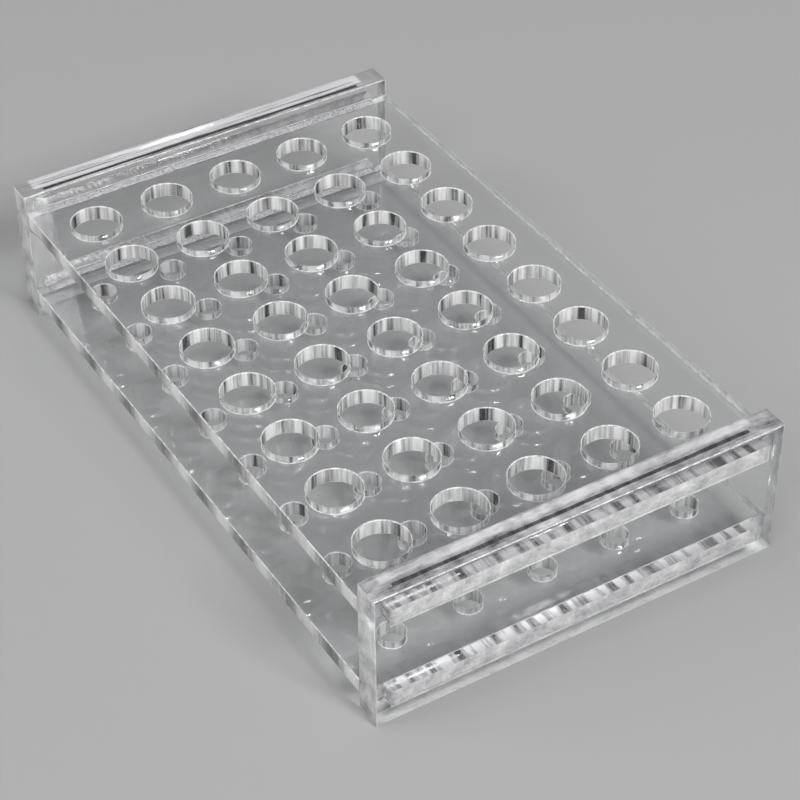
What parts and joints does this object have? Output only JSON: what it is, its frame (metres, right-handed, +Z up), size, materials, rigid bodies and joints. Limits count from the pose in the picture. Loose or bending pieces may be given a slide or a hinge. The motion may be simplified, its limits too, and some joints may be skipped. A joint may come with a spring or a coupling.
{
  "type": "microcentrifuge tube rack",
  "caption": "Clear acrylic bench rack: a top plate of wells above a lower plate of smaller seat holes, held between two upright end plates by tongues in slots.",
  "frame": {"origin": "centre of the base, on the bench between the two end plates", "axes": "+X along the rack towards its right end plate, +Y across it towards the back, +Z up"},
  "size_m": [0.1536, 0.092, 0.032],
  "materials": {
    "clear_acrylic": "gloss"
  },
  "bodies": {
    "root": {"top_plate": "clear_acrylic", "lower_plate": "clear_acrylic", "left_end_plate": "clear_acrylic", "right_end_plate": "clear_acrylic"}
  },
  "joints": []
}
